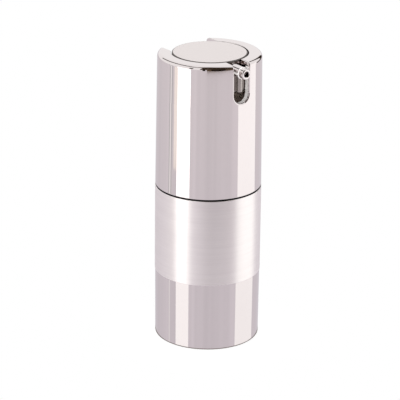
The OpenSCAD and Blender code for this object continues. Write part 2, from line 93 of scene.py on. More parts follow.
def linear(hex_code: str) -> tuple[float, float, float, float]:
    """Turn an sRGB hex colour into linear light.

    Args:
        hex_code: Six hex digits, such as "c8c0c2".

    Returns:
        Red, green and blue in linear light, and an alpha of one.
    """
    parts = [int(hex_code[i:i + 2], 16) / 255 for i in (0, 2, 4)]
    red, green, blue = [c / 12.92 if c <= 0.04045 else ((c + 0.055) / 1.055) ** 2.4 for c in parts]
    return (red, green, blue, 1.0)


def put(
    tree: Tree,
    kind: str,
    values: Mapping[str | int, Any] | None = None,
    links: Mapping[str | int, Socket] | None = None,
    **settings: Any,
) -> Node:
    """Add a node with its settings, its sockets' values and its incoming links.

    Args:
        tree: The node tree that gets the node.
        kind: The node's type name, without the ShaderNode in front.
        values: Socket name or number to value.
        links: Socket name or number to the output that feeds it.
        **settings: Attributes of the node itself.

    Returns:
        The new node.
    """
    node = tree.nodes.new("ShaderNode" + kind)
    for key, value in settings.items():
        setattr(node, key, value)
    for key, value in (values or {}).items():
        node.inputs[key].default_value = value
    for key, output in (links or {}).items():
        tree.links.new(output, node.inputs[key])
    return node


def blank(owner: Material | bpy.types.World) -> Tree:
    """Turn on a new material's or world's nodes and clear them.

    Args:
        owner: The material or world.

    Returns:
        Its empty node tree.
    """
    owner.use_nodes = True
    owner.node_tree.nodes.clear()
    return owner.node_tree


def rounded(corners: Sequence[Triple], closed: bool = False, steps: int = 8) -> Array:
    """Walk along corners (a, b, q) and round each one by its radius q.

    With h half the angle between a corner's edges, the arc starts and ends q / tan(h) from the
    corner and its centre lies q / sin(h) along the bisector. The arc turns by w = pi - 2 h, and
    at its share s it is (sin((1 - s) w) first + sin(s w) last) / sin(w), both from the centre. A
    guard point stands just outside either end, so that the flats there keep their own direction.

    Args:
        corners: Triple points with their radii; a radius of zero stays sharp.
        closed: Whether the last corner joins the first.
        steps: Number of stretches in an arc.

    Returns:
        The path's points, one per row.
    """
    spots = np.array([c[:2] for c in corners], float)
    path: list[Array] = []
    for i, (_, _, q) in enumerate(corners):
        if q == 0 or (not closed and i in (0, len(corners) - 1)):
            path.append(spots[i:i + 1])
            continue
        back = spots[i - 1] - spots[i]
        ahead = spots[(i + 1) % len(corners)] - spots[i]
        back, ahead = back / np.linalg.norm(back), ahead / np.linalg.norm(ahead)
        half = math.acos(float(np.clip(back @ ahead, -1, 1))) / 2
        first, last = spots[i] + back * q / math.tan(half), spots[i] + ahead * q / math.tan(half)
        centre = spots[i] + (back + ahead) / np.linalg.norm(back + ahead) * q / math.sin(half)
        turn = math.pi - 2 * half
        s = np.linspace(0, 1, steps + 1)[:, None]
        bow = np.sin((1 - s) * turn) * (first - centre) + np.sin(s * turn) * (last - centre)
        bow = bow / math.sin(turn)
        path += [first[None] + back * GUARD, centre + bow, last[None] + ahead * GUARD]
    return np.concatenate(path)


def revolved(path: Array, columns: int = 192) -> Array:
    """Turn a path of (r, z) about Z: the point is (r sin t, -r cos t, z) for t over a full turn.

    Args:
        path: Radius and height, one point per row.
        columns: Number of steps in the turn.

    Returns:
        A grid of points that wraps along its columns.
    """
    t = np.linspace(0, 2 * math.pi, columns, endpoint=False)
    r, z = path[:, :1], path[:, 1:]
    return np.stack([r * np.sin(t), -r * np.cos(t), np.broadcast_to(z, (len(path), columns))], -1)


def on_nozzle(path: Array, height: float, columns: int = 64) -> Array:
    """Turn a path of (r, reach) about the nozzle's axis: the point is (r sin t, -reach, height - r cos t).

    Args:
        path: Radius and distance from the bottle's axis, one point per row.
        height: Height of the nozzle's axis.
        columns: Number of steps in the turn.

    Returns:
        A grid of points that wraps along its columns.
    """
    upright = revolved(path, columns)
    return np.stack([upright[..., 0], -upright[..., 2], height + upright[..., 1]], -1)


@dataclass
class Skin:
    """Gathers grids of points and sews them into one mesh.

    Attributes:
        join: Distance within which points become one.
        points: The grids' points so far.
        quads: The quads between them.
        count: Number of points so far.
    """

    join: float = 0.002
    points: list[Array] = field(default_factory=list)
    quads: list[NDArray[np.int64]] = field(default_factory=list)
    count: int = 0

    def add(self, grid: Array, wrap_rows: bool = False, wrap_columns: bool = False) -> "Skin":
        """Add a grid; quad (i, j) joins points (i, j), (i + 1, j), (i + 1, j + 1) and (i, j + 1).

        Args:
            grid: Points as rows, columns, and x, y, z.
            wrap_rows: Whether the last row joins the first.
            wrap_columns: Whether the last column joins the first.

        Returns:
            This skin, so that calls can follow each other.
        """
        rows, columns = grid.shape[:2]
        i, j = np.meshgrid(
            np.arange(rows - (not wrap_rows)), np.arange(columns - (not wrap_columns)), indexing="ij"
        )
        corners = [(i, j), (i + 1, j), (i + 1, j + 1), (i, j + 1)]
        quads = np.stack([a % rows * columns + b % columns for a, b in corners], -1) + self.count
        self.points.append(grid.reshape(-1, 3))
        self.quads.append(quads.reshape(-1, 4))
        self.count += rows * columns
        return self

    def mirror(self) -> "Skin":
        """Add the image of everything so far across the plane x = 0.

        Returns:
            This skin.
        """
        quads = np.concatenate(self.quads)
        self.points.append(np.concatenate(self.points) * (-1, 1, 1))
        self.quads.append(quads[:, ::-1] + self.count)
        self.count *= 2
        return self

    def sew(self, name: str, crease: float = 32) -> Piece:
        """Join points that coincide, turn the faces outwards and shade them smooth.

        Args:
            name: Name of the piece.
            crease: Angle in degrees past which an edge stays sharp.

        Returns:
            The piece, at the origin.
        """
        points, quads = np.concatenate(self.points) * MM, np.concatenate(self.quads)
        mesh = bpy.data.meshes.new(name)
        mesh.from_pydata(points.tolist(), [], quads.tolist())
        shape = bmesh.new()
        shape.from_mesh(mesh)
        bmesh.ops.remove_doubles(shape, verts=shape.verts, dist=self.join * MM)
        bmesh.ops.recalc_face_normals(shape, faces=shape.faces)
        loose = sum(not edge.is_manifold for edge in shape.edges)
        shape.to_mesh(mesh)
        shape.free()
        mesh.shade_smooth()
        mesh.set_sharp_from_angle(angle=math.radians(crease))
        piece = bpy.data.objects.new(name, mesh)
        bpy.context.scene.collection.objects.link(piece)
        LOG.info("%s: %d faces, %d open edges", name, len(mesh.polygons), loose)
        return piece


@dataclass(frozen=True)
class Finish:
    """A material and how its surface was made: moulded plastic, unless a subclass says otherwise.

    Attributes:
        title: Name of the material.
        colour: sRGB hex of the surface.
        roughness: Mean roughness.
        metallic: One for a metal, zero for anything else.
        shine: Specular level; a half is usual.
        tone: How much the colour swings with its grain, as a share of itself.
        gloss: How much the roughness swings with its grain, as a share of itself.
        relief: Height of the grain in millimetres.
    """

    title: str
    colour: str
    roughness: float
    metallic: float = 0.0
    shine: float = 0.5
    tone: float = 0.03
    gloss: float = 0.15
    relief: float = 0.002

    def material(self) -> Material:
        """Make the material once and hand out the same one afterwards.

        Returns:
            The material.
        """
        known = bpy.data.materials.get(self.title)
        if known:
            return known
        material = bpy.data.materials.new(self.title)
        tree = blank(material)
        values = {"Roughness": self.roughness, "Metallic": self.metallic, "Specular IOR Level": self.shine}
        shader = put(tree, "BsdfPrincipled", values)
        put(tree, "OutputMaterial", links={"Surface": shader.outputs[0]})
        metres = put(tree, "TexCoord").outputs["Object"]
        spot = put(tree, "VectorMath", {1: (1 / MM,) * 3}, {0: metres}, operation="MULTIPLY")
        self.pattern(tree, shader, spot.outputs[0])
        return material

    def pattern(self, tree: Tree, shader: Node, spot: Socket) -> None:
        """Cloud the surface with two patches to the millimetre and pit it with nine finer pores."""
        grain = self.noise(tree, spot, 2.0, 3)
        self.lay(tree, shader, grain, grain, self.noise(tree, spot, 9.0, 2))

    def noise(
        self, tree: Tree, spot: Socket, per_mm: float, detail: float, stretch: Triple = (1, 1, 1)
    ) -> Socket:
        """Noise with about per_mm bumps in a millimetre, after its axes are multiplied by stretch.

        Args:
            tree: The material's nodes.
            spot: Position in millimetres.
            per_mm: Bumps in a millimetre.
            detail: Levels of finer noise.
            stretch: Factors on x, y and z; a small one draws the bumps out along its axis.

        Returns:
            The noise, from zero to one.
        """
        pulled = put(tree, "VectorMath", {1: stretch}, {0: spot}, operation="MULTIPLY").outputs[0]
        sizes = {"Scale": per_mm, "Detail": detail}
        return put(tree, "TexNoise", sizes, {"Vector": pulled}).outputs[0]

    def lay(self, tree: Tree, shader: Node, toned: Socket, glossed: Socket, raised: Socket) -> None:
        """Let grains swing the colour and the roughness and raise the surface.

        A grain of 0 gives 1 - swing times the colour or roughness and a grain of 1 gives
        1 + swing times it. The surface rises by the relief times its grain.

        Args:
            tree: The material's nodes.
            shader: Its shader.
            toned: Grain of the colour.
            glossed: Grain of the roughness.
            raised: Grain of the surface's height.
        """
        mean = linear(self.colour)[:3]
        swings = (1 - self.tone, 1 + self.tone)
        low, high = ((*(min(1, part * swing) for part in mean), 1) for swing in swings)
        hue = put(tree, "Mix", {COLOUR_A: low, COLOUR_B: high}, {0: toned}, data_type="RGBA")
        spread = self.roughness * self.gloss
        span = {"To Min": self.roughness - spread, "To Max": self.roughness + spread}
        rough = put(tree, "MapRange", span, {"Value": glossed})
        height = {"Strength": 1.0, "Distance": self.relief * MM}
        bump = put(tree, "Bump", height, {"Height": raised})
        tree.links.new(hue.outputs[COLOUR_OUT], shader.inputs["Base Color"])
        tree.links.new(rough.outputs[0], shader.inputs["Roughness"])
        tree.links.new(bump.outputs[0], shader.inputs["Normal"])


@dataclass(frozen=True)
class Plated(Finish):
    """Vacuum-metallised ABS under clear lacquer: a mirror with the faintest orange peel."""

    tone: float = 0.012
    gloss: float = 0.3
    relief: float = 0.0006

    def pattern(self, tree: Tree, shader: Node, spot: Socket) -> None:
        """Bend reflections in soft waves, one in 4 mm, and let a finer haze vary the gloss."""
        haze = self.noise(tree, spot, 0.6, 4)
        self.lay(tree, shader, haze, haze, self.noise(tree, spot, 0.25, 1, (1, 1, 0.5)))


@dataclass(frozen=True)
class Brushed(Finish):
    """Aluminium strip brushed round the bottle: fine level lines that blur what it reflects.

    Real brush lines are too fine to show, so the broad grade is drawn coarser than it is.

    Attributes:
        broad: Lines of the broad grade in a millimetre.
        fine: Lines of the fine grade in a millimetre.
        broad_level: Factor on x and y that draws a broad line out round the bottle.
        fine_level: The same for a fine line.
        share: Share of the fine grade in the mix.
        across: How much more it blurs across the lines than along them.
        turned: Turn that sets the wider blur across the lines, as a share of a full one.
    """

    tone: float = 0.09
    gloss: float = 0.12
    relief: float = 0.0006
    broad: float = 1.6
    fine: float = 9.6
    broad_level: float = 0.02
    fine_level: float = 0.06
    share: float = 0.4
    across: float = 0.45
    turned: float = 0.25

    def pattern(self, tree: Tree, shader: Node, spot: Socket) -> None:
        """Mix two grades of noise that are drawn out along x and y into level lines.

        Args:
            tree: The material's nodes.
            shader: Its shader.
            spot: Position in millimetres.
        """
        broad = self.noise(tree, spot, self.broad, 5, (self.broad_level, self.broad_level, 1))
        fine = self.noise(tree, spot, self.fine, 2, (self.fine_level, self.fine_level, 1))
        grades = {NUMBER_A: broad, NUMBER_B: fine}
        both = put(tree, "Mix", {0: self.share}, grades, data_type="FLOAT").outputs[0]
        self.lay(tree, shader, both, both, both)
        shader.inputs["Anisotropic"].default_value = self.across
        shader.inputs["Anisotropic Rotation"].default_value = self.turned
        around = put(tree, "Tangent", direction_type="RADIAL", axis="Z")
        tree.links.new(around.outputs[0], shader.inputs["Tangent"])


@dataclass(frozen=True)
class Spun(Finish):
    """Aluminium disc turned and then anodised satin: faint rings about its middle.

    Real rings are too fine to show, so they are drawn coarser than they are.

    Attributes:
        rings: Rings in a millimetre.
    """

    tone: float = 0.02
    gloss: float = 0.2
    relief: float = 0.0004
    rings: float = 3.0

    def pattern(self, tree: Tree, shader: Node, spot: Socket) -> None:
        """Make rings from noise over the distance from the axis.

        Args:
            tree: The material's nodes.
            shader: Its shader.
            spot: Position in millimetres.
        """
        level = put(tree, "VectorMath", {1: (1, 1, 0)}, {0: spot}, operation="MULTIPLY")
        reach = put(tree, "VectorMath", links={0: level.outputs[0]}, operation="LENGTH")
        ring = put(tree, "CombineXYZ", links={"X": reach.outputs["Value"]})
        grain = self.noise(tree, ring.outputs[0], self.rings, 2)
        self.lay(tree, shader, grain, grain, grain)


@dataclass(frozen=True)
class Drawn(Finish):
    """Metal drawn by a tool, and the painted shade on the plate's edge: fine scratches and a dull shine."""

    tone: float = 0.08
    gloss: float = 0.35
    relief: float = 0.001

    def pattern(self, tree: Tree, shader: Node, spot: Socket) -> None:
        """Lay scratches of five to the millimetre over patches of about a millimetre."""
        fine = self.noise(tree, spot, 5.0, 2, (1, 1, 3))
        self.lay(tree, shader, self.noise(tree, spot, 0.8, 3), fine, fine)


class Coat(Enum):
    """The bottle's finishes."""

    # Vacuum-metallised ABS: a sharp mirror that is a little warm and never quite even.
    MIRROR = Plated("plated_abs_mirror", "e6dedd", 0.04, 1.0)
    # Painted shade: the same mirror, darker and blurred, on the skirt and web down in the slot, where they
    # lie in shade.
    THIN = Plated("plated_abs_painted_shade", "aea6a2", 0.16, 0.85)
    # Painted reflection: a pale, soft copy of the mirror on the slot's walls and the nozzle's sides, for the
    # white surroundings that they reflect.
    PAINTED_REFLECTION = Plated("plated_abs_painted_reflection", "fbf7f5", 0.25, 0.1)
    # Brushed aluminium: level lines, and lights drawn out into broad upright streaks.
    BRUSHED = Brushed("brushed_aluminium_band", "f7f0ee", 0.33, 1.0)
    # Turned and anodised aluminium: an even pale face with the faintest rings.
    PLATE = Spun("anodised_aluminium_plate", "e3dad8", 0.22, 1.0)
    # Painted shade on the plate's edge: a dull dark line round the plate, for the shaded gap beside it.
    CUT = Drawn("plate_edge_painted_shade", "6c6663", 0.35, 1.0)
    # Moulded ABS behind the plating: plain, warm and half matt.
    BARE = Finish("moulded_abs_bare", "cbb5a6", 0.3)
    # Moulded polyacetal: black with hardly any shine, so that the joint shows as a thin line.
    BLACK = Finish("moulded_pom_black", "050506", 0.5, shine=0.1)
    # Moulded polypropylene: a milky white with a soft sheen.
    WHITE = Finish("moulded_polypropylene_white", "e4e4e0", 0.38)
    # Moulded polyethylene: whiter, softer and waxy.
    PISTON = Finish("moulded_polyethylene_white", "f0f0ed", 0.46)
    # Moulded nitrile rubber: dark grey and dull.
    RUBBER = Finish("moulded_nitrile_grey", "3c3c3f", 0.6)
    # Drawn spring steel: grey, with fine scratches that break up its shine.
    STEEL = Drawn("drawn_spring_steel", "a8a8aa", 0.26, 1.0)


def coat(piece: Piece, finish: Coat) -> None:
    """Give a piece its only material."""
    piece.data.materials.clear()
    piece.data.materials.append(finish.value.material())


def recoat(piece: Piece, finish: Coat, chosen: Choice) -> None:
    """Give some of a piece's faces another finish.

    Args:
        piece: A piece that has its main finish.
        finish: The other finish.
        chosen: Picks faces by the middle's x and y, its distance r from the axis and its height z.
    """
    mesh = piece.data
    centres = np.empty(len(mesh.polygons) * 3)
    mesh.polygons.foreach_get("center", centres)
    x, y, z = centres.reshape(-1, 3).T / MM
    index = np.empty(len(mesh.polygons), np.int32)
    mesh.polygons.foreach_get("material_index", index)
    index[chosen(x, y, np.hypot(x, y), z)] = len(mesh.materials)
    mesh.materials.append(finish.value.material())
    mesh.polygons.foreach_set("material_index", index)


def fit(piece: Piece, body: str, finish: Coat, slot: str, *nodes: str) -> None:
    """Finish a new piece, put it on its body and let it stand for its nodes.

    Args:
        piece: The piece.
        body: The body that it moves with.
        finish: Its finish.
        slot: The record's material slot; not used.
        *nodes: The nodes that it stands for.
    """
    coat(piece, finish)
    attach(piece, body)
    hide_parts(*nodes)


@dataclass
class LowerBody:
    """Mirror shell, brushed band and black joint ring."""

    shell_foot_r: float = 16.3
    shell_top_r: float = 16.4
    band_r: float = 16.5
    band_seat_r: float = 16.12
    bore_r: float = 14.9
    band_z: float = 21.6
    joint_z: float = 49.4
    floor_t: float = 1.4
    foot_round: float = 0.5
    floor_round: float = 0.3
    pad_r: float = 6.0
    ring_r: float = 14.0
    recess_t: float = 0.5
    band_round: float = 0.13

    def build(self) -> tuple[Piece, Piece]:
        """Revolve the shell's and the band's outlines.

        Returns:
            The shell and the band.
        """
        shell = rounded([
            (0, 0, 0), (self.pad_r, 0, 0), (self.pad_r, self.recess_t, 0), (self.ring_r, self.recess_t, 0),
            (self.ring_r, 0, 0), (self.shell_foot_r, 0, self.foot_round), (self.shell_top_r, self.band_z, 0),
            (self.band_seat_r, self.band_z, 0), (self.band_seat_r, self.joint_z, self.band_round),
            (self.bore_r, self.joint_z, 0), (self.bore_r, self.floor_t, self.floor_round),
            (0, self.floor_t, 0),
        ])
        band = rounded([
            (self.band_seat_r, self.band_z, 0), (self.band_r, self.band_z, self.band_round),
            (self.band_r, self.joint_z, self.band_round), (self.band_seat_r, self.joint_z, 0),
        ], closed=True, steps=5)
        return (
            Skin().add(revolved(shell), wrap_columns=True).sew("lower_shell"),
            Skin().add(revolved(band), wrap_rows=True, wrap_columns=True).sew("brush_band"),
        )

    def dress(self, nodes: Nodes) -> None:
        """Finish the shell, the band and the black ring.

        Args:
            nodes: The part's nodes by name.
        """
        shell, band = self.build()
        fit(shell, "root", Coat.MIRROR, "mirror_plastic", "outer_shell")
        fit(band, "root", Coat.BRUSHED, "brushed_aluminium", "brushed_band")
        coat(nodes["base_collar"], Coat.BLACK)


@dataclass(frozen=True)
class Cut:
    """A cut in the sleeve that is open at the top, and how its outline meets the sleeve's rows.

    Attributes:
        side: -1 where the cut is on the nozzle's side and 1 where it is at the back.
        flat: Half width of the level foot between the round lower corners.
        radius: Radius of the corners.
        z: Height of the corners' centres.
        start: First row that the cut's wall reaches.
        angle: For each row, the angle round the corner from straight down; a right angle above it.
        edge: For each row, the width of the rounded edge.
    """

    side: int
    flat: float
    radius: float
    z: float
    start: int
    angle: Array
    edge: Array

    def half(self, edge: Array | float = 0.0) -> Array:
        """Half width at each row, edge included: flat + (radius + edge) sin angle."""
        return self.flat + (self.radius + edge) * np.sin(self.angle)


def carried(strip: Array, inner: Array) -> Array:
    """Carry each row of a strip from its last point straight on to an inner point.

    The points lie at set shares s of the way: last + (inner - last) s.

    Args:
        strip: Points as rows and columns.
        inner: One point for each row, as a column.

    Returns:
        The strip with its wall.
    """
    shares = np.array([0.02, 0.35, 0.7, 1.0])[None, :, None]
    return np.concatenate([strip, strip[:, -1:] + (inner - strip[:, -1:]) * shares], 1)


@dataclass
class Sleeve:
    """Mirror sleeve of the turning collar, with its rim, nozzle slot and finger notch."""

    foot_z: float = 49.82
    top_z: float = 92.0
    foot_r: float = 16.45
    top_r: float = 16.0
    bore_r: float = 14.2
    rim_z: float = 90.6
    rim_bore_r: float = 11.9
    rim_round: float = 1.3
    lip_round: float = 0.25
    slot_half: float = 2.8
    slot_z: float = 82.3514
    slot_round: float = 0.5
    slot_painted_reflection_r: float = 15.6
    notch_half: float = 8.9
    notch_z: float = 86.0
    notch_corner: float = 2.5
    notch_round: float = 0.25
    # Most that a rounded edge may take of the way left to the rim's end.
    edge_share: float = 0.15
    slot_rows: int = 22
    notch_rows: int = 11
    between_rows: int = 6
    plain_rows: int = 9
    top_rows: int = 5
    edge_steps: int = 8
    columns: int = 90
    back_columns: int = 24
    # Shares of a row's angle: where the narrow column beside a cut ends, and where the even ones start.
    narrow: float = 0.0015
    near_cut: float = 0.01
    outer: Array = field(init=False, repr=False)
    inner: Array = field(init=False, repr=False)
    inward: Array = field(init=False, repr=False)
    slot: Cut = field(init=False, repr=False)
    notch: Cut = field(init=False, repr=False)

    def wall_r(self, z: Array) -> Array:
        """Radius of the drafted wall: it falls evenly from foot_r to top_r as z rises."""
        return self.foot_r + (self.top_r - self.foot_r) * (z - self.foot_z) / (self.top_z - self.foot_z)

    def heights(self, end: Array, bend: Array, slot_edge: float, notch_edge: float) -> Array:
        """Heights of the rows from the slot's lower end up to the rim.

        Round a corner a height is its centre's less (radius + edge) cos a, for even angles a, so
        that the cut's outline gets even steps. In between the heights are even.

        Args:
            end: Angles round the slot's end, from straight down.
            bend: Angles round the notch's corner.
            slot_edge: Width of the slot's rounded edge.
            notch_edge: Width of the notch's rounded edge.

        Returns:
            The heights, from below.
        """
        corner_z = self.notch_z + self.notch_corner
        return np.concatenate([
            self.slot_z - (self.slot_half + slot_edge) * np.cos(end),
            np.linspace(self.slot_z, self.notch_z - notch_edge, self.between_rows + 1)[1:],
            corner_z - (self.notch_corner + notch_edge) * np.cos(bend),
            np.linspace(corner_z, self.rim_z, self.top_rows)[1:],
        ])

    def __post_init__(self) -> None:
        """Work out the rows of the outer and inner surfaces and where slot and notch cut them.

        Rows run from the foot up the wall and over the rim. The outer surface stops short of each
        cut by the width of its rounded edge, which narrows towards the rim's end. Under the rim
        the inner radius falls with the share of the rim's outline that the outer row has covered.
        """
        end = np.radians(np.linspace(0, 90, self.slot_rows))
        bend = np.radians(np.linspace(0, 90, self.notch_rows))[1:]
        low_z = self.slot_z - self.slot_half - self.slot_round
        foot = rounded([
            (self.bore_r, self.foot_z, 0), (self.foot_r, self.foot_z, self.lip_round),
            (float(self.wall_r(low_z)), low_z, 0),
        ])[:-1]
        rim = rounded([
            (float(self.wall_r(self.rim_z)), self.rim_z, 0), (self.top_r, self.top_z, self.rim_round),
            (self.rim_bore_r, self.top_z, self.lip_round), (self.rim_bore_r, self.rim_z, 0),
        ], steps=12)[1:]
        plain_z = np.linspace(foot[-1, 1], low_z, self.plain_rows)[1:-1]
        wall = np.concatenate([plain_z, self.heights(end, bend, self.slot_round, self.notch_round)])
        self.outer = np.concatenate([foot, np.stack([self.wall_r(wall), wall], -1), rim])
        count, slot_row = len(self.outer), len(foot) + len(plain_z)
        notch_row = slot_row + len(end) + self.between_rows - 1

        inner_z = self.heights(end, bend, 0, 0)
        inner_z = np.concatenate([np.linspace(self.foot_z, inner_z[0], slot_row + 1)[:-1], inner_z])
        share = np.cumsum(np.linalg.norm(np.diff(rim, axis=0, prepend=rim[:1]), axis=1))
        under_r = self.bore_r - (self.bore_r - self.rim_bore_r) * share / share[-1]
        self.inner = np.concatenate([
            np.stack([np.full(len(inner_z), self.bore_r), inner_z], -1),
            np.stack([under_r, np.full(len(rim), self.rim_z)], -1),
        ])

        tangent = np.gradient(self.outer, axis=0)
        tangent /= np.linalg.norm(tangent, axis=1)[:, None]
        self.inward = np.stack([-tangent[:, 1], tangent[:, 0]], -1)
        self.inward[:count - len(rim)] = (-1, 0)

        steps = np.linalg.norm(np.diff(self.outer, axis=0), axis=1)
        left = self.edge_share * np.concatenate([np.cumsum(steps[::-1])[::-1], [0]])
        slot_angle, notch_angle = (
            np.concatenate([np.zeros(row), turn, np.full(count - row - len(turn), math.pi / 2)])
            for row, turn in ((slot_row, end), (notch_row + 1, bend))
        )
        self.slot = Cut(
            -1, 0.0, self.slot_half, self.slot_z, slot_row, slot_angle, np.minimum(self.slot_round, left)
        )
        self.notch = Cut(
            1, self.notch_half - self.notch_corner, self.notch_corner, self.notch_z + self.notch_corner,
            notch_row, notch_angle, np.minimum(self.notch_round, left),
        )

    def beside(self, cut: Cut, row: NDArray[np.int64], out: Array, deep: Array) -> Array:
        """Point beside a cut's outline, out from it by `out` and `deep` below the surface.

        Round the corner x is flat + (radius + out) sin a and z is the corner's height less
        (radius + out) cos a; above it z is the row's own. The radius r is the surface's less
        `deep`, and y is sqrt(r^2 - x^2) on the cut's side.

        Args:
            cut: The slot or the notch.
            row: Rows of the outer surface, as a column.
            out: Distance from the outline.
            deep: Depth below the surface.

        Returns:
            The points.
        """
        angle, inward = cut.angle[row], self.inward[row]
        turning = angle < math.pi / 2
        x = cut.flat + (cut.radius + out) * np.sin(angle)
        z = np.where(turning, cut.z - (cut.radius + out) * np.cos(angle), self.outer[row, 1])
        r = np.where(turning, self.wall_r(z), self.outer[row, 0]) + inward[..., 0] * deep
        return np.stack([x, cut.side * np.sqrt(r ** 2 - x ** 2), z + inward[..., 1] * deep], -1)

    def build(self) -> Piece:
        """Lay the surfaces between the cuts, round the cuts' edges and close their walls.

        A row's angle from the nozzle runs evenly from asin(x_slot / r) to pi - asin(x_notch / r),
        where x is the cut's half width at that row. A narrow column at either end keeps the wall's
        own direction up to the cut. Rounded edges are quarter circles, whose
        point is edge (1 - sin c) out and edge (1 - cos c) deep for c from 0 to 90 degrees.

        Returns:
            The sleeve.
        """
        skin = Skin()
        even = np.linspace(self.near_cut, 1 - self.near_cut, self.columns)
        share = np.concatenate([[0, self.narrow], even, [1 - self.narrow, 1]])
        back = np.linspace(0, 1, self.back_columns)
        feet: list[Array] = []
        for rows, rounding in ((self.outer, 1), (self.inner, 0)):
            r, z = rows[:, :1], rows[:, 1:]
            low = np.arcsin(self.slot.half(rounding * self.slot.edge)[:, None] / r)
            high = math.pi - np.arcsin(self.notch.half(rounding * self.notch.edge)[:, None] / r)
            for angle, count in (
                (low + (high - low) * share, len(rows)),
                (high + (math.pi - high) * back, self.notch.start + 1),
            ):
                grid = np.stack([r * np.sin(angle), -r * np.cos(angle), z + 0 * angle], -1)[:count]
                skin.add(grid)
            feet.append(grid[-1])
        c = np.radians(np.linspace(0, 90, self.edge_steps))[None]
        for cut in (self.slot, self.notch):
            row = np.arange(cut.start, len(self.outer))[:, None]
            width = cut.edge[row]
            strip = self.beside(cut, row, width * (1 - np.sin(c)), width * (1 - np.cos(c)))
            r, z = self.inner[cut.start:].T
            x = cut.half()[cut.start:]
            bore = np.stack([x, cut.side * np.sqrt(r ** 2 - x ** 2), z], -1)
            skin.add(carried(strip, bore[:, None]))
        x = feet[0][:, :1]
        z = self.notch_z - self.notch_round * (1 - np.sin(c)) + 0 * x
        r = self.wall_r(z) - self.notch_round * (1 - np.cos(c))
        strip = np.stack([x + 0 * c, np.sqrt(r ** 2 - x ** 2), z], -1)
        skin.add(carried(strip, feet[1][:, None]))
        return skin.mirror().sew("collar_sleeve")

    def dress(self, nodes: Nodes) -> None:
        """Finish the sleeve, and the inner collar that it hides.

        Args:
            nodes: The part's nodes by name.
        """
        sleeve = self.build()
        fit(sleeve, "collar", Coat.MIRROR, "mirror_plastic", "outer_sleeve")
        inner_r, half = self.bore_r + NEAR, self.slot_half + NEAR
        recoat(sleeve, Coat.BARE, lambda x, y, r, z: (r < inner_r) & (z < self.rim_z + NEAR))
        # The slot's walls get the paler mirror: painted reflection.
        recoat(sleeve, Coat.PAINTED_REFLECTION, lambda x, y, r, z: (
            (y < 0) & (abs(x) < half) & (r > inner_r) & (r < self.slot_painted_reflection_r) & (z < self.rim_z)
        ))
        coat(nodes["inner_collar"], Coat.BLACK)


